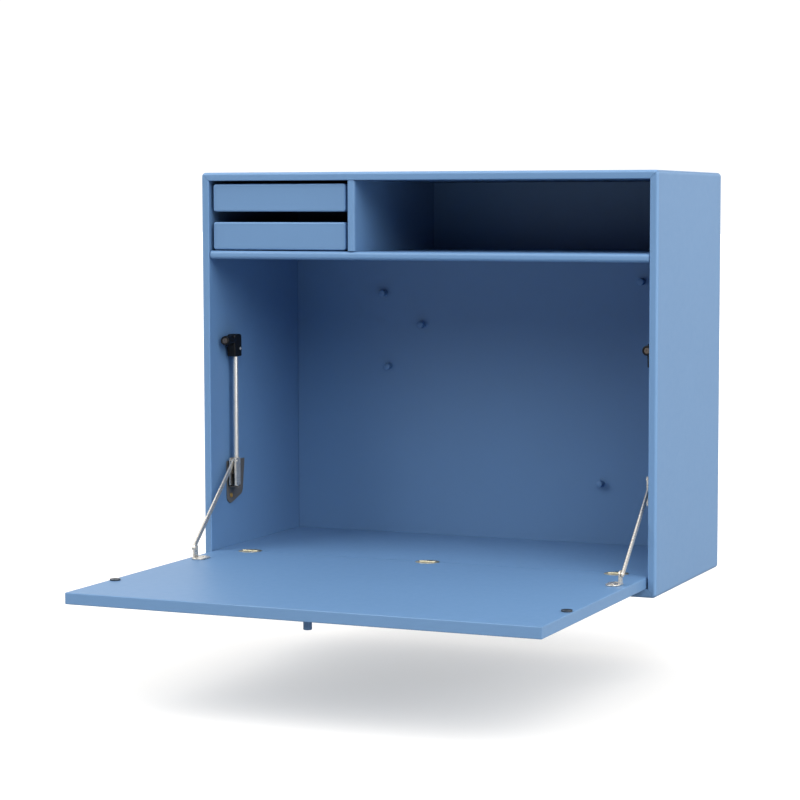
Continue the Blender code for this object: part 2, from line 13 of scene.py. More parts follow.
import bpy
import numpy as np
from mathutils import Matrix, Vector


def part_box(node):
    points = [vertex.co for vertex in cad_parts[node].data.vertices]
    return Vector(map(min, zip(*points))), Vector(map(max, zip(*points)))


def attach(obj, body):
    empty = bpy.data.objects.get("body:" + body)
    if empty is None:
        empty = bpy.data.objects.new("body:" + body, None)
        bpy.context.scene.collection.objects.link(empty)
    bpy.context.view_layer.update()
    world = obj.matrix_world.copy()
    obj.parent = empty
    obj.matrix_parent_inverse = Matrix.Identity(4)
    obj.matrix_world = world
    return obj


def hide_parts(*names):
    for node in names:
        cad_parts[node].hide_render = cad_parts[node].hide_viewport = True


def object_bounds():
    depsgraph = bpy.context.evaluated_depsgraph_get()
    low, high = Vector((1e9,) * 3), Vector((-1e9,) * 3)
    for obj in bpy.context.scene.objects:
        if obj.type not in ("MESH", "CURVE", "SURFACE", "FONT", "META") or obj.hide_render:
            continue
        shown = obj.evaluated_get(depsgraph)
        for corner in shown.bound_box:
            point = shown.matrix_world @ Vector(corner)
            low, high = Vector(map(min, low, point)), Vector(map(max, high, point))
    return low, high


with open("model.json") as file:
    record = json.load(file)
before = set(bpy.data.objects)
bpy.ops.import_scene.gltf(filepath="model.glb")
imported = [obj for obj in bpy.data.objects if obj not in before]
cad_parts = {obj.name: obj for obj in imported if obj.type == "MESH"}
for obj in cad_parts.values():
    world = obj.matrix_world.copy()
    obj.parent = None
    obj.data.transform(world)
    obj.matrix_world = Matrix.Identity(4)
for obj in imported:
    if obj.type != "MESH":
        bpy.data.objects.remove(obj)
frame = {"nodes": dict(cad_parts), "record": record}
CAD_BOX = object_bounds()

nodes = frame["nodes"]
scene = bpy.context.scene
MM = 0.001
SIDES = {"left": -1, "right": 1}

# %% [markdown]
# The camera comes first, because every choice of light and edge is judged through it. It is a
# long lens a little above the middle of the desk and to its right. The small sideways shift is
# that of a wider picture that was cropped, so upright edges stay upright.

# %% Camera
LENS_MM, SENSOR_MM = 104.75, 36.0
CAMERA_PLACE = (1.3023, -3.3003, 0.2365)
CAMERA_TURN = (85.239, 0.0, 22.253)
CAMERA_SHIFT = (-0.0875, 0.0052)
LOOK, EXPOSURE = "Medium High Contrast", -0.15

camera = bpy.data.objects.new("studio camera", bpy.data.cameras.new("studio camera"))
camera.data.lens = LENS_MM
camera.data.sensor_width = SENSOR_MM
camera.data.shift_x, camera.data.shift_y = CAMERA_SHIFT
camera.location = CAMERA_PLACE
camera.rotation_euler = [math.radians(angle) for angle in CAMERA_TURN]
scene.collection.objects.link(camera)
scene.camera = camera
scene.view_settings.view_transform = "Standard"
scene.view_settings.look = LOOK
scene.view_settings.exposure = EXPOSURE
print("camera stands at", CAMERA_PLACE)

# %% [markdown]
# Colours are written as the hex values that a colour picker shows, which are curved for the
# screen. A renderer adds light, so one function straightens them. Another small function adds a
# shader node with its settings and links, which keeps every recipe below to a few lines. Sockets
# that share a name are told apart by number, and those numbers are named here.

# %% Colour and node helpers
LACQUER = "#6f91b6"
MIX_SHARE, MIX_A, MIX_B, MIX_RESULT = 0, 6, 7, 2
FIRST, SECOND = 0, 1
VALUE, FROM_LOW, FROM_HIGH, TO_LOW, TO_HIGH = 0, 1, 2, 3, 4


def linear(hex_colour, shade=1.0):
    """sRGB hex to linear: c / 12.92 below 0.04045, else ((c + 0.055) / 1.055) to the power 2.4.
    The shade multiplies the result, so 0.9 is a tenth darker."""
    parts = np.array([int(hex_colour[i:i + 2], 16) for i in (1, 3, 5)]) / 255
    parts = np.where(parts <= 0.04045, parts / 12.92, ((parts + 0.055) / 1.055) ** 2.4)
    return (*(parts * shade).tolist(), 1.0)


def new_material(name, colour, roughness, metallic=0.0):
    """A material with one Principled shader; returns it, its tree and the shader."""
    made = bpy.data.materials.new(name)
    made.use_nodes = True
    shader = made.node_tree.nodes["Principled BSDF"]
    shader.inputs["Base Color"].default_value = linear(colour)
    shader.inputs["Roughness"].default_value = roughness
    shader.inputs["Metallic"].default_value = metallic
    return made, made.node_tree, shader


def add_node(tree, kind, settings=None, links=None):
    """Add one node; settings are its properties or sockets, links are sockets and their source."""
    made = tree.nodes.new("ShaderNode" + kind)
    for key, value in (settings or {}).items():
        if isinstance(key, str) and hasattr(made, key):
            setattr(made, key, value)
        else:
            made.inputs[key].default_value = value
    for key, source in (links or {}).items():
        tree.links.new(source, made.inputs[key])
    return made


print("blue lacquer in linear light:", [round(c, 3) for c in linear(LACQUER)[:3]])

# %% [markdown]
# A product shot of pale furniture is lit from both sides in front, well off the middle and half
# way up, so that the fronts are bright while the side panels and the shelf keep the inside in
# shade. Two sun lamps with a wide angle give that soft light. A dome above adds to it, a
# softbox brightens the right side, and the world is white behind and dark in front. Two cards in
# front only show in gloss, as strips of light on the metal and a sheen on the lacquer. What the
# camera sees directly of floor and world is lifted to white, while the light that the floor
# sends back up is that of a grey floor, or the underside of every board would shine.

# %% Floor and light
FLOOR_HEIGHT = -0.43
FLOOR_HALF = 60.0
FLOOR_WHITE = 0.6
FLOOR_TINT = (1.03, 1.0, 0.96)
FLOOR_GLOW = 0.42
FLOOR_BOUNCE = 0.45
KEY_STRENGTH = 1.6
KEY_ELEVATION = 37
KEY_BEARING = 50
KEY_ANGLE = 50
LEFT_BEARING = -50
LEFT_STRENGTH = 1.55
BACK_GLOW = 0.9
FRONT_GLOW = 0.01
SKY_FROM = 0.1
SKY_TO = 0.8
SKY_GLOW = 0.9
SEAM = 0.2
LAMP_AIM = Vector((0.1, -0.2, 0.0))
CARDS = {"side softbox": ((2.6, -0.5, 0.5), 1.2, 14),
         "sheen card left": ((-1.5, -3.0, 0.3), 1.7, 3),
         "sheen card right": ((2.3, -2.0, 0.5), 1.7, 12)}

mesh = bpy.data.meshes.new("studio floor")
corners = [(-FLOOR_HALF, -FLOOR_HALF), (FLOOR_HALF, -FLOOR_HALF), (FLOOR_HALF, FLOOR_HALF),
           (-FLOOR_HALF, FLOOR_HALF)]
mesh.from_pydata([(x, y, FLOOR_HEIGHT) for x, y in corners], [], [(0, 1, 2, 3)])
floor = bpy.data.objects.new("studio floor", mesh)
scene.collection.objects.link(floor)
paint, tree, shader = new_material("matt white studio paper", "#ffffff", 0.9)
shown = add_node(tree, "Mix", {"data_type": "RGBA", MIX_A: (*[FLOOR_BOUNCE] * 3, 1),
                               MIX_B: (*[FLOOR_WHITE * part for part in FLOOR_TINT], 1)})
tree.links.new(shown.outputs[MIX_RESULT], shader.inputs["Base Color"])
shader.inputs["Specular IOR Level"].default_value = 0.0
shader.inputs["Emission Color"].default_value = (1, 1, 1, 1)
seen = add_node(tree, "LightPath").outputs["Is Camera Ray"]
tree.links.new(seen, shown.inputs[MIX_SHARE])
glow = add_node(tree, "Math", {"operation": "MULTIPLY", SECOND: FLOOR_GLOW}, {FIRST: seen})
tree.links.new(glow.outputs[0], shader.inputs["Emission Strength"])
mesh.materials.append(paint)

for name, bearing, strength in (("right key", KEY_BEARING, KEY_STRENGTH),
                                ("left key", LEFT_BEARING, LEFT_STRENGTH)):
    lamp = bpy.data.objects.new(name, bpy.data.lights.new(name, "SUN"))
    lamp.data.energy = strength
    lamp.data.angle = math.radians(KEY_ANGLE)
    up, across = math.radians(KEY_ELEVATION), math.radians(bearing)
    towards = Vector((math.sin(across) * math.cos(up), -math.cos(across) * math.cos(up),
                      math.sin(up)))
    lamp.rotation_euler = towards.to_track_quat("Z", "Y").to_euler()
    scene.collection.objects.link(lamp)

for name, (place, size, power) in CARDS.items():
    softbox = bpy.data.objects.new(name, bpy.data.lights.new(name, "AREA"))
    softbox.data.size, softbox.data.energy = size, power
    softbox.location = place
    softbox.rotation_euler = (Vector(place) - LAMP_AIM).to_track_quat("Z", "Y").to_euler()
    softbox.visible_diffuse = "sheen" not in name
    scene.collection.objects.link(softbox)

world = bpy.data.worlds.new("studio")
scene.world = world
world.use_nodes = True
tree = world.node_tree
backdrop = tree.nodes["Background"]
backdrop.inputs["Color"].default_value = (1, 1, 1, 1)
generated = add_node(tree, "TexCoord").outputs["Generated"]
way = add_node(tree, "SeparateXYZ", {}, {"Vector": generated})
room = add_node(tree, "MapRange", {"interpolation_type": "SMOOTHSTEP", FROM_LOW: -SEAM,
                                   FROM_HIGH: SEAM, TO_LOW: FRONT_GLOW, TO_HIGH: BACK_GLOW},
                {VALUE: way.outputs["Y"]})
sky = add_node(tree, "MapRange", {"interpolation_type": "SMOOTHSTEP", FROM_LOW: SKY_FROM,
                                  FROM_HIGH: SKY_TO, TO_LOW: 0.0, TO_HIGH: SKY_GLOW},
               {VALUE: way.outputs["Z"]})
both = add_node(tree, "Math", {"operation": "MAXIMUM"},
                {FIRST: room.outputs[0], SECOND: sky.outputs[0]})
seen = add_node(tree, "LightPath").outputs["Is Camera Ray"]
shown = add_node(tree, "Math", {"operation": "MAXIMUM"}, {FIRST: both.outputs[0], SECOND: seen})
tree.links.new(shown.outputs[0], backdrop.inputs["Strength"])
print("floor at", FLOOR_HEIGHT, "and", len(bpy.data.lights), "lamps")

# %% [markdown]
# The cabinet is MDF sprayed with satin lacquer. Sprayed lacquer isn't a mirror or chalk: its
# gloss is blurred and its surface has the slight waviness called orange peel, about 1.6 mm from
# crest to crest. The rounded edges are painted paler, as a painted highlight along each edge. The
# tint drifts by a few per cent over a hand's width, and the gloss varies in patches of about 9 mm.
# The peel is drawn as a bump, the drift as colour, and the edge highlight is painted into the
# colour; its value is worked out with each surface below. The tray bottoms are hardboard, duller
# and with a finer grain.

# %% Satin lacquer
ROUGH, BOARD_ROUGH = 0.45, 0.57
PEEL, BOARD_PEEL = 1.6 * MM, 0.9 * MM
PEEL_DEPTH, BOARD_PEEL_DEPTH = 0.03 * MM, 0.05 * MM
DRIFT, MIST = 120 * MM, 9 * MM


def sprayed(name, colour, peel_size, peel_depth, roughness):
    """Sprayed lacquer: noise the size of the peel for the bump, a wide slow noise for the tint,
    and a painted highlight that pales the colour where the edge value is high.
    """
    paint, tree, shader = new_material(name, colour, roughness)
    shader.inputs["IOR"].default_value = 1.5
    where = add_node(tree, "TexCoord").outputs["Object"]
    drift = add_node(tree, "TexNoise", {"Scale": 1 / DRIFT, "Detail": 3.0}, {"Vector": where})
    tint = add_node(tree, "Mix", {"data_type": "RGBA", MIX_A: linear(colour, 1.02),
                                  MIX_B: linear(colour, 0.97)}, {MIX_SHARE: drift.outputs[0]})
    # The edge value paints a highlight into the colour: up to half of a 1.3 times paler colour,
    # along rounded edges.
    edge = add_node(tree, "Attribute", {"attribute_name": "edge"})
    highlight_share = add_node(tree, "Math", {"operation": "MULTIPLY", SECOND: 0.5},
                    {FIRST: edge.outputs["Fac"]})
    painted_edge_highlight = add_node(tree, "Mix", {"data_type": "RGBA", MIX_B: linear(colour, 1.3)},
                    {MIX_SHARE: highlight_share.outputs[0], MIX_A: tint.outputs[MIX_RESULT]})
    tree.links.new(painted_edge_highlight.outputs[MIX_RESULT], shader.inputs["Base Color"])
    mist = add_node(tree, "TexNoise", {"Scale": 1 / MIST, "Detail": 4.0}, {"Vector": where})
    gloss = add_node(tree, "MapRange", {TO_LOW: roughness - 0.04, TO_HIGH: roughness + 0.04},
                     {VALUE: mist.outputs[0]})
    tree.links.new(gloss.outputs[0], shader.inputs["Roughness"])
    peel = add_node(tree, "TexNoise", {"Scale": 1 / peel_size, "Detail": 2.0}, {"Vector": where})
    bump = add_node(tree, "Bump", {"Strength": 0.2, "Distance": peel_depth},
                    {"Height": peel.outputs[0]})
    tree.links.new(bump.outputs[0], shader.inputs["Normal"])
    return paint


lacquer = sprayed("satin lacquer on MDF", LACQUER, PEEL, PEEL_DEPTH, ROUGH)
board = sprayed("lacquered hardboard", LACQUER, BOARD_PEEL, BOARD_PEEL_DEPTH, BOARD_ROUGH)
print("two lacquers, peel of", round(PEEL / MM, 1), "mm and", round(BOARD_PEEL / MM, 1), "mm")

# %% [markdown]
# The fittings are metal, and each kind is told by how it was finished. Nickel plate on pressed
# steel is a warm grey with the faint streaks of the rolled sheet, and the wall plates are the same
# in a duller plate. The rods are ground and chromed, with lines that run round them. The hinge
# halves are zinc castings: those in the flap are nickel plated and pale, those in the floor are
# only passivated, which leaves them darker and yellower. The wall plate's screw is brass, the
# strike discs are zinc-plated steel, and the face of the magnet is a bare steel pole.
#
# One function draws them all: noise stretched along one direction gives streaks that change the
# gloss, and a fine even noise gives a cast or dulled surface its grain. Brushed, tumbled and
# dulled plate scatters part of the light in every direction, where a true mirror would show only
# the blue boards around it. A metallic value below one stands for that part.

# %% Metals
METAL_GRAIN = 0.4 * MM


def plated(name, tones, roughness, streak, grain_depth, metallic, spread=0.06):
    """Metal: stretched noise (scales per metre in x, y, z) moves tone and gloss, grain bumps."""
    paint, tree, shader = new_material(name, tones[0], roughness, metallic)
    where = add_node(tree, "TexCoord").outputs["Object"]
    along = add_node(tree, "Mapping", {"vector_type": "POINT", "Scale": streak},
                     {"Vector": where})
    lines = add_node(tree, "TexNoise", {"Scale": 1.0, "Detail": 3.0},
                     {"Vector": along.outputs[0]})
    tone = add_node(tree, "Mix", {"data_type": "RGBA", MIX_A: linear(tones[0]),
                                  MIX_B: linear(tones[1])}, {MIX_SHARE: lines.outputs[0]})
    tree.links.new(tone.outputs[MIX_RESULT], shader.inputs["Base Color"])
    gloss = add_node(tree, "MapRange", {TO_LOW: roughness - spread, TO_HIGH: roughness + spread},
                     {VALUE: lines.outputs[0]})
    tree.links.new(gloss.outputs[0], shader.inputs["Roughness"])
    grain = add_node(tree, "TexNoise", {"Scale": 1 / METAL_GRAIN, "Detail": 2.0},
                     {"Vector": where})
    bump = add_node(tree, "Bump", {"Strength": 0.4, "Distance": grain_depth},
                    {"Height": grain.outputs[0]})
    tree.links.new(bump.outputs[0], shader.inputs["Normal"])
    return paint


EVEN = np.ones(3)
nickel = plated("nickel-plated steel", ("#d3cdc3", "#e4dfd6"), 0.27, (300, 300, 2500),
                0.004 * MM, 0.7)
dull_nickel = plated("dull nickel plate", ("#75706a", "#827c74"), 0.45, (400, 400, 1800),
                     0.006 * MM, 0.35)
chrome = plated("ground and chromed steel", ("#e2ded8", "#f2efea"), 0.16, (60, 60, 4000),
                0.001 * MM, 0.7, spread=0.04)
cast = plated("nickel-plated zinc casting", ("#d6cfb6", "#bdb596"), 0.34, 900 * EVEN,
              0.012 * MM, 0.6)
raw_cast = plated("passivated zinc casting", ("#a09778", "#857d62"), 0.36, 900 * EVEN,
                  0.012 * MM, 0.75)
brass = plated("brass", ("#d8b878", "#c19e5e"), 0.3, (1500, 300, 300), 0.004 * MM, 0.7)
strike = plated("zinc-plated steel", ("#6d7277", "#5b6065"), 0.33, 700 * EVEN, 0.010 * MM, 0.85)
pole = plated("steel pole face of a magnet", ("#8c827a", "#6f665f"), 0.42, 1200 * EVEN,
              0.015 * MM, 0.8)
print("metals:", ", ".join(made.name for made in (nickel, dull_nickel, chrome, cast, raw_cast,
                                                  brass, strike, pole)))

# %% [markdown]
# The stay heads, brake shoes and runners are black moulded nylon. Moulded black plastic is never
# quite black: the tool leaves a fine spark-eroded texture of a few tenths of a millimetre,
# which blurs the gloss and turns it grey at a low angle. A wider noise makes it a little cloudy.

# %% Moulded plastic
SPARK, SPARK_DEPTH, CLOUD = 0.35 * MM, 0.02 * MM, 4 * MM
NYLON_DARK, NYLON_PALE = "#0b0b0c", "#161617"
moulded, tree, shader = new_material("black moulded nylon", NYLON_DARK, 0.46)
where = add_node(tree, "TexCoord").outputs["Object"]
spark = add_node(tree, "TexNoise", {"Scale": 1 / SPARK, "Detail": 3.0}, {"Vector": where})
bump = add_node(tree, "Bump", {"Strength": 0.5, "Distance": SPARK_DEPTH},
                {"Height": spark.outputs[0]})
tree.links.new(bump.outputs[0], shader.inputs["Normal"])
cloud = add_node(tree, "TexNoise", {"Scale": 1 / CLOUD, "Detail": 2.0}, {"Vector": where})
tone = add_node(tree, "Mix", {"data_type": "RGBA", MIX_A: linear(NYLON_DARK),
                              MIX_B: linear(NYLON_PALE)}, {MIX_SHARE: cloud.outputs[0]})
tree.links.new(tone.outputs[MIX_RESULT], shader.inputs["Base Color"])

SLOT_PAINT = {"lacquer": lacquer, "tray_board": board, "nickel_plate": nickel,
              "rod_steel": chrome, "hinge_metal": cast, "brass": brass, "strike_steel": strike,
              "magnet": pole, "black_plastic": moulded}
for entry in frame["record"]["materials"]:
    print("slot", entry["slot"], "->", SLOT_PAINT[entry["slot"]].name)

# %% [markdown]
# Most parts of a desk are one of two things: a board or plate, which is an outline with
# rounded edges, or a turned piece, which is a circle that changes radius along its axis. Both
# are stacks of rings, so a surface here is an array of rings, closed at its first and last
# ring. The two parameters are the place along the ring and the ring's number. The edge value of
# a ring tells the lacquer how much painted highlight to put on it along rounded edges.

# %% Rings to a mesh
AXES = {"x": (1, 2, 0), "y": (0, 2, 1), "z": (0, 1, 2)}
SHARP_FROM = 40


def in_space(flat, height, axis):
    """Put flat points, which name the two other directions in order, at a height along axis."""
    first, second, third = AXES[axis]
    rings = np.empty((*flat.shape[:2], 3))
    rings[..., first], rings[..., second] = flat[..., 0], flat[..., 1]
    rings[..., third] = height
    return rings


def shell_faces(count, points, start):
    """Quads between each ring and the next, and one face to close each end."""
    index = start + np.arange(count * points).reshape(count, points)
    low, high = index[:-1], index[1:]
    quads = np.stack([low, np.roll(low, -1, 1), np.roll(high, -1, 1), high], -1).reshape(-1, 4)
    return quads.tolist() + [index[0][::-1].tolist(), index[-1].tolist()]


def piece(name, shells, body, slot, *replaced, paint=None):
    """Make one object of closed shells, each (rings, painted edge highlight of each ring), and
    hang it up.
    """
    mesh = bpy.data.meshes.new(name)
    points, faces, edge = [], [], []
    for rings, painted_edge_highlight in shells:
        rings = outwards(rings)
        faces += shell_faces(*rings.shape[:2], sum(map(len, points)))
        points.append(rings.reshape(-1, 3))
        edge.append(np.repeat(painted_edge_highlight, rings.shape[1]))
    mesh.from_pydata(np.concatenate(points).tolist(), [], faces)
    # The "edge" attribute carries the painted edge highlight for the lacquer.
    mesh.attributes.new("edge", "FLOAT", "POINT").data.foreach_set(
        "value", np.concatenate(edge).astype(np.float32))
    mesh.shade_smooth()
    mesh.set_sharp_from_angle(angle=math.radians(SHARP_FROM))
    mesh.materials.append(paint or SLOT_PAINT[slot])
    made = bpy.data.objects.new(name, mesh)
    scene.collection.objects.link(made)
    normals = made.modifiers.new("flat faces lead the shading", "WEIGHTED_NORMAL")
    normals.keep_sharp = True
    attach(made, body)
    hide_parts(*replaced)
    return made


def outwards(rings):
    """Turn the rings round if the volume under their quads is negative, seen from their centre."""
    centred = rings - rings.mean((0, 1))
    a, b = centred[:-1], centred[1:]
    c, d = np.roll(a, -1, 1), np.roll(b, -1, 1)
    volume = (np.cross(a, c) * d).sum() + (np.cross(a, d) * b).sum()
    for end, sign in ((centred[0], -1), (centred[-1], 1)):
        middle = end.mean(0)
        volume += sign * (np.cross(end, np.roll(end, -1, 0)) @ middle).sum()
    return rings if volume > 0 else rings[:, ::-1]


def span(node):
    """Lowest and highest corner of a CAD node as arrays."""
    low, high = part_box(node)
    return np.array(low), np.array(high)


print("the flap spans", *[corner.round(3) for corner in span("flap_panel")])

# %% [markdown]
# An outline is an array of points on a plane. To round an edge, each ring is the outline drawn
# in by a little: every corner moves along the sum of its two sides' normals, divided by one
# plus their product, which keeps each side parallel to where it was.

# %% Outlines, plates and turned pieces
def arc(centre, radius, first, last, steps):
    """Points centre + radius (cos a, sin a) for a from first to last degrees."""
    turn = np.radians(np.linspace(first, last, steps + 1))
    return np.array(centre) + radius * np.stack([np.cos(turn), np.sin(turn)], -1)


def rectangle(low, high, radius, steps=6):
    """A rectangle with round corners: four quarter circles about the corners drawn in."""
    (x0, y0), (x1, y1) = low, high
    r = np.broadcast_to(radius, 4)
    centres = [(x1 - r[0], y1 - r[0]), (x0 + r[1], y1 - r[1]), (x0 + r[2], y0 + r[2]),
               (x1 - r[3], y0 + r[3])]
    return np.concatenate([arc(centre, r[i], 90 * i, 90 * i + 90, steps)
                           for i, centre in enumerate(centres)])


def drawn_in(outline, distance):
    """Move each point inwards so that each side stays parallel, distance from its old line."""
    side = np.roll(outline, -1, 0) - outline
    normal = np.stack([side[:, 1], -side[:, 0]], -1)
    normal /= np.linalg.norm(normal, axis=1, keepdims=True)
    area = (outline[:, 0] * np.roll(outline[:, 1], -1) -
            outline[:, 1] * np.roll(outline[:, 0], -1)).sum()
    before = np.roll(normal, 1, 0)
    move = (normal + before) / (1 + (normal * before).sum(1, keepdims=True))
    return outline - np.sign(area) * distance * move


def plate(outline, low, high, edge, axis, steps=5):
    """Carry an outline from low to high. At angle t of each rounded edge the ring is drawn in by
    edge (1 - sin t) and lies edge (1 - cos t) from the face."""
    turn = np.linspace(0, math.pi / 2, steps + 1)
    inset, rise = edge * (1 - np.sin(turn)), edge * (1 - np.cos(turn))
    flat = np.stack([drawn_in(outline, d) for d in np.concatenate([inset, inset[::-1]])])
    low, high = min(low, high), max(low, high)
    height = np.concatenate([low + rise, high - rise[::-1]])[:, None]
    # Painted highlight, strongest half way round each rounded edge.
    painted_edge_highlight = np.sin(2 * turn)
    return in_space(flat, height, axis), np.concatenate([painted_edge_highlight, painted_edge_highlight[::-1]])


def turned(profile, centre, axis, count=40):
    """A circle about centre whose radius follows the profile's (radius, height) rows."""
    profile = np.array(profile, float)
    circle = arc((0, 0), 1, 0, 360, count)[:-1]
    flat = np.array(centre) + profile[:, None, :1] * circle[None]
    return in_space(flat, profile[:, 1][:, None], axis), np.zeros(len(profile))


def quarter(radius, height, size, way, steps):
    """Profile rows for a rounded rim: from (radius - size, height) out to (radius, height - size
    way), on a quarter circle."""
    turn = np.linspace(0, math.pi / 2, steps + 1)
    return np.stack([radius - size + size * np.sin(turn),
                     height - way * size * (1 - np.cos(turn))], -1)


print("outline helpers ready")

# %% [markdown]
# The four outer panels are 12 mm MDF, mitred at the corners, with the corner rounded to 6 mm. The
# front edge is rounded full on the outside and only eased on the inside, so it turns softly into
# the side but stops sharply at the opening. The mitre shows as a hairline. A bevelled cube can't
# give that joint, so the ring is worked out: at a distance d inside the surface, the outer
# corner is an arc of radius 6 mm - d, and the inner corner stays on the 45 degree line.

# %% Carcass panels
CORNER = 6 * MM
FRONT_OUTSIDE, FRONT_INSIDE = 4.2 * MM, 1.4 * MM
BACK_EDGE = 0.8 * MM
JOINT = 0.2 * MM


def mitred_rings(length, thick, front, back):
    """Rings (u along the panel, v from its outer face), their depths, front to back, and the
    painted edge highlight of each ring. At angle t of an edge of radius r, a point is drawn in by
    r (1 - sin t) and lies r (1 - cos t) from the face; r is one value for the points of the outer
    face and another for the inner corner."""
    turn = np.linspace(0, math.pi / 2, 7)[:, None]
    sweep = np.radians(np.linspace(45, 90, 7))
    size = np.array([FRONT_INSIDE] + [FRONT_OUTSIDE] * len(sweep))
    rear = np.full_like(size, BACK_EDGE)
    drawn = np.concatenate([size * (1 - np.sin(turn)), rear * (1 - np.sin(turn[::-1]))])
    depth = np.concatenate([front + size * (1 - np.cos(turn)),
                            back - rear * (1 - np.cos(turn[::-1]))])
    radius = CORNER - drawn[:, 1:]
    bend = np.stack([CORNER - radius * np.cos(sweep), CORNER - radius * np.sin(sweep)], -1)
    bend[:, 0, 0] += JOINT
    inner = np.stack([thick - drawn[:, :1] + JOINT, thick - drawn[:, :1]], -1)
    near = np.concatenate([inner, bend], 1)
    far = near[:, ::-1] * (-1, 1) + (length, 0)
    # Painted highlight along the front edge, half as strong along the back edge.
    painted_edge_highlight = np.concatenate([np.sin(2 * turn), np.sin(2 * turn[::-1]) * 0.5])[:, 0]
    return np.concatenate([near, far], 1), np.concatenate([depth, depth[:, ::-1]], 1), painted_edge_highlight


low, high = span("top_panel")
floor_low = span("bottom_panel")[0][2]
WIDTH = CAD_BOX[1][0] - CAD_BOX[0][0]
HEIGHT, THICK = high[2] - floor_low, high[2] - low[2]
PANELS = {"top_panel": (WIDTH, lambda u, v: (u - WIDTH / 2, high[2] - v)),
          "bottom_panel": (WIDTH, lambda u, v: (u - WIDTH / 2, floor_low + v)),
          "side_panel_left": (HEIGHT, lambda u, v: (v - WIDTH / 2, floor_low + u)),
          "side_panel_right": (HEIGHT, lambda u, v: (WIDTH / 2 - v, floor_low + u))}
for name, (length, place) in PANELS.items():
    rings, depth, painted_edge_highlight = mitred_rings(length, THICK, low[1], high[1])
    flat = np.stack(place(rings[..., 0], rings[..., 1]), -1)
    made = piece(f"lacquered_{name}", [(in_space(flat, depth, "y"), painted_edge_highlight)], "carcass",
                 "lacquer", name)
    print(made.name, len(made.data.polygons), "faces")

# %% [markdown]
# The shelf and the divider are the same board with a fuller nose: their front edges are almost
# half round, and the front corners are rounded in plan too, which leaves the small dark notch
# where the shelf meets the side panel. The back panel sits between the four outer ones, and a thin
# tongue all round it reaches 0.6 mm into them, so that no light comes past its edge.

# %% Shelf, divider and back
# NOSE_HIGHLIGHT is the painted highlight given to the shelf and the divider.
NOSE, DIVIDER_NOSE, NOSE_REACH, NOSE_HIGHLIGHT = 4.8 * MM, 4.32 * MM, 5.76 * MM, 0.35
BACK_CORNER, SHELF_TURN, DIVIDER_TURN = 0.5 * MM, 3.5 * MM, 1.0 * MM
BACK_PANEL_CORNER, BACK_PANEL_EDGE = 1 * MM, 0.4 * MM
TONGUE_REACH, TONGUE_INSET, TONGUE_EDGE = 0.6 * MM, 3 * MM, 0.1 * MM


def nosed_board(outline, low, high, axis, nose, steps=6):
    """Carry a section, whose first coordinate or second is depth, from low to high. At angle t
    of each end, the points of the nose lie nose (1 - sin t) further back and the ring lies
    nose (1 - cos t) from the end."""
    depth = 0 if axis == "x" else 1
    front = (outline[:, depth] < outline[:, depth].min() + NOSE_REACH).astype(float)
    turn = np.linspace(0, math.pi / 2, steps + 1)
    flat = np.repeat(outline[None], 2 * len(turn), 0)
    back = nose * (1 - np.sin(turn))
    flat[..., depth] += np.concatenate([back, back[::-1]])[:, None] * front
    rise = nose * (1 - np.cos(turn))
    height = np.concatenate([low + rise, high - rise[::-1]])[:, None]
    # Every ring gets the same painted highlight, so the whole board is painted a little paler.
    return in_space(flat, height, axis), np.full(2 * len(turn), NOSE_HIGHLIGHT)


low, high = span("shelf")
section = rectangle(low[1:], high[1:], (BACK_CORNER, NOSE, NOSE, BACK_CORNER), 8)
piece("lacquered_shelf", [nosed_board(section, low[0], high[0], "x", SHELF_TURN)], "carcass",
      "lacquer", "shelf")
low, high = span("divider")
section = rectangle(low[:2], high[:2], (BACK_CORNER, BACK_CORNER, DIVIDER_NOSE, DIVIDER_NOSE), 8)
piece("lacquered_divider", [nosed_board(section, low[2], high[2], "z", DIVIDER_TURN)], "carcass",
      "lacquer", "divider")
low, high = span("back_panel")
section = rectangle(low[[0, 2]], high[[0, 2]], BACK_PANEL_CORNER)
tongue = rectangle(low[[0, 2]] - TONGUE_REACH, high[[0, 2]] + TONGUE_REACH, BACK_PANEL_CORNER)
piece("lacquered_back_panel",
      [plate(section, low[1], high[1], BACK_PANEL_EDGE, "y"),
       plate(tongue, low[1] + TONGUE_INSET, high[1] - TONGUE_INSET, TONGUE_EDGE, "y", 2)],
      "carcass", "lacquer", "back_panel")
print("shelf, divider and back panel in place")

# %% [markdown]
# Each tray front is a 12 mm board with its corners rounded to 4 mm and its edges to 2.5 mm, so a
# bright line runs along its top: the rounding catches the light, and a painted highlight on the
# rounded edge adds to it. The knob and the five pegs are turned wood in the same
# lacquer: straight, with a softened rim and a face that is a little crowned.

# %% Tray fronts, knob and pegs
TRAY_CORNER, TRAY_EDGE = 4 * MM, 2.5 * MM
STUD_FOOT_RISE, STUD_FOOT_INSET = 0.4 * MM, 0.3 * MM
KNOB_RIM, KNOB_CROWN = 1.0 * MM, 0.3 * MM
PEG_RIM, PEG_CROWN = 1.2 * MM, 0.4 * MM

for level in ("upper", "lower"):
    low, high = span(f"{level}_tray_front")
    outline = rectangle(low[[0, 2]], high[[0, 2]], TRAY_CORNER)
    piece(f"lacquered_{level}_tray_front", [plate(outline, low[1], high[1], TRAY_EDGE, "y", 7)],
          f"{level}_tray", "lacquer", f"{level}_tray_front")


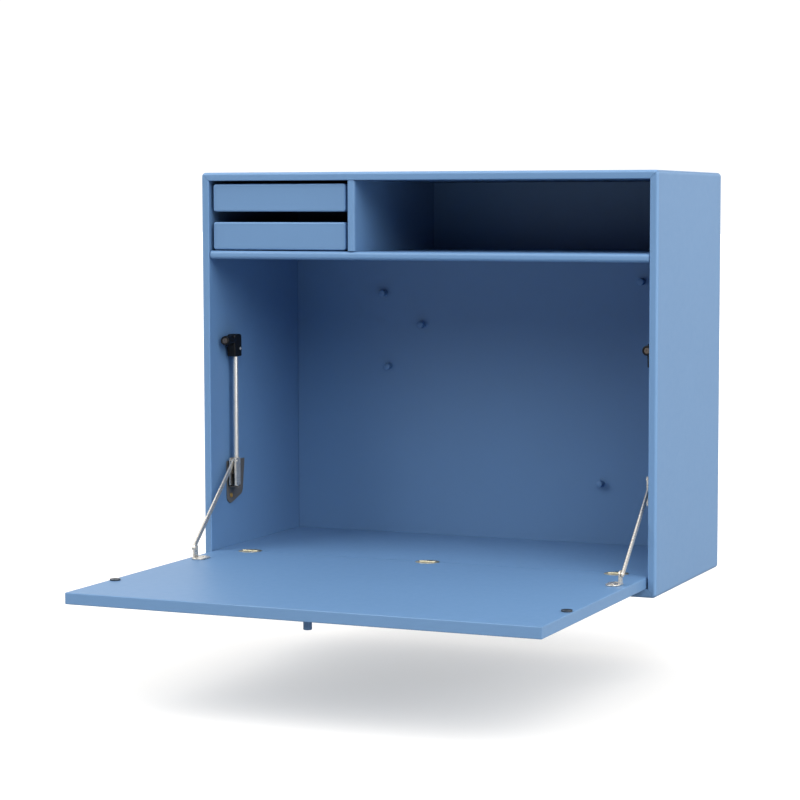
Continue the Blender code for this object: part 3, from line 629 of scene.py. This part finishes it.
def stud(low, high, axis, way, rim, crown):
    """A round peg between two corners; way is +1 if its free end is the higher one."""
    first, second, third = AXES[axis]
    centre = (low + high)[[first, second]] / 2
    radius = (high - low)[first] / 2
    tip, root = (high[third], low[third]) if way > 0 else (low[third], high[third])
    face = [(radius * share, tip - way * crown * share ** 2) for share in (0.02, 0.3, 0.55)]
    edge = quarter(radius, tip - way * crown, rim, way, 5)
    foot = [(radius, root + way * STUD_FOOT_RISE), (radius - STUD_FOOT_INSET, root)]
    return turned(np.concatenate([face, edge, foot]), centre, axis)


piece("turned_flap_knob", [stud(*span("flap_knob"), "z", -1, KNOB_RIM, KNOB_CROWN)], "flap",
      "lacquer", "flap_knob")
for number in range(1, 6):
    piece(f"turned_peg_{number}", [stud(*span(f"peg_{number}"), "y", -1, PEG_RIM, PEG_CROWN)],
          "carcass", "lacquer", f"peg_{number}")
print("tray fronts, knob and pegs turned")

# %% [markdown]
# A countersunk or pan-head screw is what tells the eye how big a fitting is. The head is a shallow
# dome with a cross pressed into it. On a polar grid the height is the dome minus the depth
# of the cross, where the cross is every point near one of the two middle lines.

# %% Screw heads
CROSS_HALF, CROSS_REACH, CROSS_SOFT, CROSS_DEPTH = 0.16, 0.62, 0.08, 0.75


def screw_head(centre, radius, base, height, axis, way=1, spin=20.0, rings=14, count=48):
    """Dome height (1 - q^2 / 2) at q = r / radius, less the recess where min(|x|, |y|) is under
    CROSS_HALF and max(|x|, |y|) under CROSS_REACH radii, with sides CROSS_SOFT radii wide."""
    q = np.concatenate([[1.0, 1.0], np.linspace(0.97, 0.02, rings)])
    turn = np.linspace(0, 2 * math.pi, count, endpoint=False)
    x, y = q[:, None] * np.cos(turn), q[:, None] * np.sin(turn)
    narrow, far = np.minimum(abs(x), abs(y)), np.maximum(abs(x), abs(y))
    recess = (np.clip((CROSS_HALF - narrow) / CROSS_SOFT + 0.5, 0, 1) *
              np.clip((CROSS_REACH - far) / CROSS_SOFT + 0.5, 0, 1))
    dome = height * (1 - 0.5 * q[:, None] ** 2) - CROSS_DEPTH * height * recess
    dome[0] = 0
    turned_by = turn + math.radians(spin)
    flat = np.stack([q[:, None] * np.cos(turned_by), q[:, None] * np.sin(turned_by)], -1)
    return (in_space(np.array(centre) + radius * flat, base + way * dome, axis),
            np.zeros(len(q)))


print("a screw head has", screw_head((0, 0), MM, 0, MM, "z")[0][..., 0].size, "points")

# %% [markdown]
# Each cup hinge is two half-round castings let flush into the floor and the flap. They meet on
# the turning axis, where a pin runs through three knuckles, and each half is held by two
# countersunk screws. The strike discs are plated steel, fixed to the flap by one screw.

# %% Hinges and strike discs
HALVES = {"floor": (1, "carcass", raw_cast), "flap": (-1, "flap", cast)}
CUP_DROP, CUP_EDGE = 0.2 * MM, 0.5 * MM
LIP_INSET, LIP_DEPTH, LIP_RISE, LIP_EDGE = 2.2 * MM, 0.6 * MM, 0.1 * MM, 0.25 * MM
SCREW_ASIDE, SCREW_BEYOND, SCREW_RADIUS, SCREW_HEIGHT = 7.5 * MM, 8.5 * MM, 2.9 * MM, 0.5 * MM
KNUCKLE_GAP, KNUCKLE_RIM = 0.15 * MM, 0.3 * MM
DISC_RIM, DISC_FOOT_INSET, DISH_DEPTH = 0.5 * MM, 0.2 * MM, 0.3 * MM
STRIKE_SCREW_RADIUS, STRIKE_SCREW_HEIGHT = 2.8 * MM, 0.6 * MM

for side in ("left", "middle", "right"):
    pin_low, pin_high = span(f"hinge_{side}_pin")
    centre = (pin_low + pin_high) / 2
    for half, (way, body, finish) in HALVES.items():
        low, high = span(f"hinge_{side}_{half}_cup")
        radius, top = (high[0] - low[0]) / 2, high[2]
        straight, first = (low[1], 0) if way > 0 else (high[1], 180)
        cup = arc((centre[0], straight), radius, first, first + 180, 32)
        lip = arc((centre[0], straight), radius - LIP_INSET, first, first + 180, 32)
        shells = [plate(cup, low[2], top - CUP_DROP, CUP_EDGE, "z", 3),
                  plate(lip, top - LIP_DEPTH, top + LIP_RISE, LIP_EDGE, "z", 3)]
        piece(f"hinge_{side}_{half}_casting", shells, body, "hinge_metal",
              f"hinge_{side}_{half}_cup", paint=finish)
        heads = [screw_head((centre[0] + aside, straight + way * SCREW_BEYOND), SCREW_RADIUS,
                            top, SCREW_HEIGHT, "z", spin=spin)
                 for aside, spin in ((-SCREW_ASIDE, -15), (SCREW_ASIDE, 55))]
        piece(f"hinge_{side}_{half}_screws", heads, body, "hinge_metal", paint=nickel)
    ends, radius = np.linspace(pin_low[0], pin_high[0], 4), (pin_high[2] - pin_low[2]) / 2
    rims = [(quarter(radius, first + KNUCKLE_GAP, KNUCKLE_RIM, -1, 3),
             quarter(radius, last - KNUCKLE_GAP, KNUCKLE_RIM, 1, 3)[::-1])
            for first, last in zip(ends[:-1], ends[1:])]
    knuckles = [turned(np.concatenate(pair), centre[1:], "x", 20) for pair in rims]
    piece(f"hinge_{side}_knuckles", knuckles, "carcass", "hinge_metal", f"hinge_{side}_pin")
for side in SIDES:
    low, high = span(f"strike_disc_{side}")
    centre, radius = (low + high)[:2] / 2, (high - low)[0] / 2
    dish = high[2] - DISH_DEPTH
    profile = np.concatenate([[(radius - DISC_FOOT_INSET, low[2])],
                              quarter(radius, high[2], DISC_RIM, 1, 4)[::-1],
                              [(radius * 0.72, high[2]), (radius * 0.66, dish),
                               (radius * 0.02, dish)]])
    piece(f"strike_plate_{side}", [turned(profile, centre, "z", 48)], "flap", "strike_steel",
          f"strike_disc_{side}")
    piece(f"strike_screw_{side}", [screw_head(centre, STRIKE_SCREW_RADIUS, dish,
                                              STRIKE_SCREW_HEIGHT, "z", spin=35)],
          "flap", "strike_steel")
print("three hinges and two strike discs")

# %% [markdown]
# A flap stay holds the open flap and slows its fall. A ground rod stands at each side between a
# pressed wall plate and a black head with a magnetic catch. A slider of folded steel runs on
# the rod with a brake shoe inside, and a flat arm joins it to a bracket on the flap. The rod, the
# head and the wall plate stay with the cabinet. The slider, the arm and the bracket each move with
# another body, so they are pieces of their own.

# %% Rods and heads
ROD_RIM = 0.4 * MM
HEAD_FRONT, HEAD_ROOM_SIDE, HEAD_WALL_SIDE, HEAD_EDGE = 13 * MM, 6 * MM, 7 * MM, 1.3 * MM
HEAD_SHOULDER, HEAD_SHOULDER_DROP, HEAD_TOE = 5 * MM, 6 * MM, 1.2 * MM
CHIN_TOP, CHIN_FOOT = 14 * MM, 11 * MM
CATCH_RADIUS, CATCH_RIM, CATCH_LIP, CATCH_BORE = 6.8 * MM, 1.0 * MM, 0.4 * MM, 4.5 * MM
COLLAR_RADIUS, COLLAR_EDGE, COLLAR_HEIGHT, COLLAR_DROP = 6.0 * MM, 0.4 * MM, 2 * MM, 0.1 * MM
POLE_RADIUS, POLE_RIM, POLE_DEPTH = 4.1 * MM, 0.3 * MM, 0.35 * MM
POLE_DIMPLE = ((0.9, 1.0), (1.1, 0.5))  # radius and depth in millimetres
ADJUSTER_RADIUS, ADJUSTER_HEIGHT, ADJUSTER_SUNK = 2.4 * MM, 1.1 * MM, 0.2 * MM


def stay_places(side):
    """Where the rod stands in x and y, and the lowest and highest corner of the arm."""
    rod_low, rod_high = span(f"stay_{side}_rod")
    axis = (rod_low + rod_high) / 2
    return (*axis[:2], *span(f"stay_{side}_arm"))


for side, sign in SIDES.items():
    x, y, *_ = stay_places(side)
    low, high = span(f"stay_{side}_rod")
    rod_radius = (high[0] - low[0]) / 2
    profile = np.concatenate([quarter(rod_radius, low[2], ROD_RIM, -1, 3),
                              [(rod_radius, (low[2] + high[2]) / 2)],
                              quarter(rod_radius, high[2], ROD_RIM, 1, 3)[::-1]])
    piece(f"stay_{side}_ground_rod", [turned(profile, (x, y), "z", 48)], "carcass", "rod_steel",
          f"stay_{side}_rod")

    low, high = span(f"stay_{side}_head")
    front, rear, base = y - HEAD_FRONT, high[1], low[2]
    shoulder, toe = high[2] - HEAD_SHOULDER_DROP, base + HEAD_TOE
    outline = np.concatenate([arc((rear - HEAD_SHOULDER, shoulder), HEAD_SHOULDER, 0, 80, 8),
                              arc((front + HEAD_SHOULDER, shoulder), HEAD_SHOULDER, 100, 180, 8),
                              [(front, base + CHIN_TOP), (front + HEAD_TOE, base + CHIN_FOOT)],
                              arc((front + 2 * HEAD_TOE, toe), HEAD_TOE, 180, 270, 4),
                              arc((rear - HEAD_TOE, toe), HEAD_TOE, 270, 360, 4)])
    body = plate(outline, x - sign * HEAD_ROOM_SIDE, x + sign * HEAD_WALL_SIDE, HEAD_EDGE, "x")

    magnet_low, magnet_high = span(f"stay_{side}_magnet")
    catch = (magnet_low + magnet_high)[[0, 2]] / 2
    face, wall = magnet_low[1], magnet_high[1] + 0.3 * MM
    nose = turned(np.concatenate([[(CATCH_RADIUS - 0.2 * MM, front + 4 * MM),
                                   (CATCH_RADIUS, front + 2 * MM)],
                                  quarter(CATCH_RADIUS, face, CATCH_RIM, -1, 4)[::-1],
                                  [(CATCH_BORE + CATCH_LIP, face), (CATCH_BORE, face + CATCH_LIP),
                                   (CATCH_BORE, wall), (0.1 * MM, wall)]]), catch, "y", 48)
    collar = turned([(rod_radius + 0.3 * MM, base - COLLAR_DROP),
                     (COLLAR_RADIUS - COLLAR_EDGE, base - COLLAR_DROP),
                     (COLLAR_RADIUS, base + COLLAR_EDGE), (COLLAR_RADIUS, base + COLLAR_HEIGHT),
                     (0.3 * MM, base + COLLAR_HEIGHT)], (x, y), "z", 36)
    piece(f"stay_{side}_moulded_head", [body, nose, collar], "carcass", "black_plastic",
          f"stay_{side}_head")

    disc = turned(np.concatenate([[(radius * MM, face + sunk * MM)
                                   for radius, sunk in POLE_DIMPLE],
                                  quarter(POLE_RADIUS, face + POLE_DEPTH, POLE_RIM, -1, 3),
                                  [(POLE_RADIUS, wall - 0.1 * MM)]]), catch, "y", 40)
    piece(f"stay_{side}_pole_face", [disc], "carcass", "magnet", f"stay_{side}_magnet")
    low, high = span(f"stay_{side}_adjusting_screw")
    seat = x - sign * (HEAD_ROOM_SIDE - ADJUSTER_SUNK)
    piece(f"stay_{side}_adjuster", [screw_head((low + high)[1:] / 2, ADJUSTER_RADIUS, seat,
                                               ADJUSTER_HEIGHT, "x", -sign)],
          "carcass", "nickel_plate", f"stay_{side}_adjusting_screw")
print("rods and heads in place")

# %% [markdown]
# The slider is one strip of steel folded round the rod, with two short lips turned in at the
# front. The black brake shoe shows between them. The head of the arm's rivet stands on its cheek
# with a short axle behind it. The arm is a flat bar with nearly half-round edges, which is why
# it shows a bright line along its middle.

# %% Sliders, shoes and arms
STRIP, STRIP_BEND, STRIP_EDGE = 1.5 * MM, 1.2 * MM, 0.35 * MM
LIP_WIDTH, LIP_THICK = 1.2 * MM, 1.3 * MM
ARM_HALF, ARM_EDGE = 3.9 * MM, 1.2 * MM
RIVET_RADIUS, RIVET_RIM, RIVET_HEIGHT, RIVET_ROOT = 2.7 * MM, 0.6 * MM, 0.9 * MM, 0.2 * MM
RIVET_CROWN, AXLE_RADIUS, AXLE_END = 0.05 * MM, 1.8 * MM, 0.5 * MM
SHOE_CORNER, SHOE_EDGE = 0.5 * MM, 0.4 * MM

for side, sign in SIDES.items():
    x, y, arm_low, arm_high = stay_places(side)
    low, high = span(f"stay_{side}_slider")
    outer = (high[0] - low[0]) / 2
    slot, lip = outer - STRIP, outer - STRIP - LIP_WIDTH
    edge = low[1] + STRIP_BEND
    outline = np.concatenate([arc((x + outer - STRIP_BEND, edge), STRIP_BEND, -90, 0, 4),
                              arc((x, y), outer, 0, 180, 24),
                              arc((x - outer + STRIP_BEND, edge), STRIP_BEND, 180, 270, 4),
                              [(x - lip, low[1]), (x - lip, low[1] + LIP_THICK),
                               (x - slot, low[1] + STRIP)],
                              arc((x, y), slot, 180, 0, 24),
                              [(x + slot, low[1] + STRIP), (x + lip, low[1] + LIP_THICK),
                               (x + lip, low[1])]])
    folded = plate(outline, low[2], high[2], STRIP_EDGE, "z", 3)

    foot, top = arm_low[1:] + ARM_HALF, arm_high[1:] - ARM_HALF
    cheek = x - sign * outer
    rivet = turned(np.concatenate([[(RIVET_RADIUS, cheek + sign * RIVET_ROOT)],
                                   quarter(RIVET_RADIUS, cheek - sign * RIVET_HEIGHT, RIVET_RIM,
                                           -sign, 4)[::-1],
                                   [(0.1 * MM, cheek - sign * (RIVET_HEIGHT + RIVET_CROWN))]]),
                   top, "x", 28)
    axle = turned([(AXLE_RADIUS, x + sign * slot), (AXLE_RADIUS, cheek + sign * AXLE_END)], top,
                  "x", 20)
    piece(f"stay_{side}_folded_slider", [folded, rivet, axle], f"stay_{side}_slider_body",
          "nickel_plate", f"stay_{side}_slider")
    low, high = span(f"stay_{side}_brake_shoe")
    shoe = plate(rectangle(low[:2], high[:2], SHOE_CORNER, 3), low[2], high[2], SHOE_EDGE, "z", 3)
    piece(f"stay_{side}_nylon_shoe", [shoe], f"stay_{side}_slider_body", "black_plastic",
          f"stay_{side}_brake_shoe")

    tilt = math.degrees(math.atan2(top[1] - foot[1], top[0] - foot[0]))
    outline = np.concatenate([arc(foot, ARM_HALF, tilt + 90, tilt + 270, 20),
                              arc(top, ARM_HALF, tilt - 90, tilt + 90, 20)])
    piece(f"stay_{side}_flat_arm", [plate(outline, arm_low[0], arm_high[0], ARM_EDGE, "x", 5)],
          f"stay_{side}_arm_body", "nickel_plate", f"stay_{side}_arm")
print("each arm leans", round(tilt, 1), "degrees from level")

# %% [markdown]
# The bracket on the flap is a pressed plate with an upright lug at its outer edge. The arm's pin
# goes through the lug and is riveted over, and two screws hold the plate. The wall plate is a
# duller pressing with a foot that carries the rod and one brass screw in its round tab.

# %% Brackets and wall plates
BRACKET_FACE, BRACKET_HALF, BRACKET_STRAIGHT = 1.5 * MM, 10 * MM, 6 * MM
BRACKET_THICK, BRACKET_EDGE = 2 * MM, 0.6 * MM
LUG_FACE, LUG_THICK, LUG_EDGE = 1.8 * MM, 2.4 * MM, 0.5 * MM
LUG_HALF, LUG_RADIUS, LUG_SUNK = 6.5 * MM, 5.5 * MM, 1 * MM
PIN_RADIUS, PIN_RIM, PIN_REACH = 2.0 * MM, 0.5 * MM, 2.3 * MM
PIN_HEAD = ((2.9, 0.0), (2.9, 0.5), (2.1, 1.0), (0.1, 1.1))  # radius and rise in millimetres
BRACKET_SCREW = {-9 * MM: -17, 9 * MM: 37}
BRACKET_SCREW_RADIUS, BRACKET_SCREW_HEIGHT = 3.2 * MM, 0.9 * MM
SHEET, SHEET_EDGE, SHEET_CORNER, TAB = 1.6 * MM, 0.35 * MM, 1.5 * MM, 11.5 * MM
FOOT_REACH, FOOT_CORNER, FOOT_EDGE, FOOT_SUNK = 6.2 * MM, 1.2 * MM, 0.3 * MM, 1.2 * MM
FOOT_LOW, FOOT_HIGH = 1.9 * MM, 0.3 * MM
BRASS_RADIUS, BRASS_HEIGHT = 3.6 * MM, 1.9 * MM

for side, sign in SIDES.items():
    x, y, arm_low, arm_high = stay_places(side)
    low, high = span(f"stay_{side}_flap_bracket")
    pivot = arm_low[1:] + ARM_HALF
    middle = x - sign * (BRACKET_FACE + BRACKET_HALF)
    top = low[2] + BRACKET_THICK
    outline = np.concatenate([arc((middle, pivot[0] + BRACKET_STRAIGHT), BRACKET_HALF, 0, 180, 20),
                              arc((middle, pivot[0] - BRACKET_STRAIGHT), BRACKET_HALF, 180, 360,
                                  20)])
    base = plate(outline, low[2], top, BRACKET_EDGE, "z", 4)
    lug_face, lug_back = x - sign * LUG_FACE, x - sign * (LUG_FACE + LUG_THICK)
    rise = np.concatenate([[(pivot[0] - LUG_HALF, top - LUG_SUNK),
                            (pivot[0] + LUG_HALF, top - LUG_SUNK)],
                           arc(pivot, LUG_RADIUS, 0, 180, 16)])
    lug = plate(rise, lug_face, lug_back, LUG_EDGE, "x", 3)
    pin_end = x + sign * PIN_REACH
    pin = turned(np.concatenate([[(0.1 * MM, pin_end)],
                                 quarter(PIN_RADIUS, pin_end, PIN_RIM, sign, 3),
                                 [(PIN_RADIUS, lug_back)],
                                 [(radius * MM, lug_back - sign * rise * MM)
                                  for radius, rise in PIN_HEAD]]), pivot, "x", 28)
    piece(f"stay_{side}_pressed_bracket", [base, lug, pin], "flap", "nickel_plate",
          f"stay_{side}_flap_bracket")
    heads = [screw_head((middle, pivot[0] + along), BRACKET_SCREW_RADIUS, top - 0.1 * MM,
                        BRACKET_SCREW_HEIGHT, "z", spin=spin)
             for along, spin in BRACKET_SCREW.items()]
    piece(f"stay_{side}_bracket_screws", heads, "flap", "nickel_plate")

    low, high = span(f"stay_{side}_wall_plate")
    inner = high[0] if sign > 0 else low[0]
    screw = np.add(*span(f"stay_{side}_plate_screw"))[1:] / 2
    rod_end = span(f"stay_{side}_rod")[0][2]
    corner = high[2] - SHEET_CORNER
    outline = np.concatenate([arc((high[1] - SHEET_CORNER, corner), SHEET_CORNER, 0, 90, 4),
                              arc((low[1] + SHEET_CORNER, corner), SHEET_CORNER, 90, 180, 4),
                              arc(screw, TAB, 180, 280, 14),
                              arc((high[1] - 1.5 * TAB, rod_end - TAB / 2), TAB, 300, 350, 6)])
    sheet = plate(outline, inner, inner - sign * SHEET, SHEET_EDGE, "x", 3)
    first, last = sorted((inner - sign * FOOT_SUNK, x - sign * FOOT_REACH))
    foot = plate(rectangle((first, y - FOOT_REACH), (last, y + FOOT_REACH), FOOT_CORNER),
                 rod_end - FOOT_LOW, rod_end - FOOT_HIGH, FOOT_EDGE, "z", 3)
    piece(f"stay_{side}_pressed_wall_plate", [sheet, foot], "carcass", "nickel_plate",
          f"stay_{side}_wall_plate", paint=dull_nickel)
    piece(f"stay_{side}_brass_screw", [screw_head(screw, BRASS_RADIUS, inner - sign * SHEET,
                                                  BRASS_HEIGHT, "x", -sign)],
          "carcass", "brass", f"stay_{side}_plate_screw")
print("brackets and wall plates in place")

# %% [markdown]
# The floor, the flap and the insides of the trays keep their CAD shapes, which are right as they
# are, and only take their finish.

# %% Finish of the parts that stay
for name, node in nodes.items():
    slot = ("black_plastic" if "runner" in name else
            "tray_board" if name.endswith("tray_bottom") else "lacquer")
    if not node.hide_render:
        node.data.materials.clear()
        node.data.materials.append(SLOT_PAINT[slot])
        print(name, "->", SLOT_PAINT[slot].name)
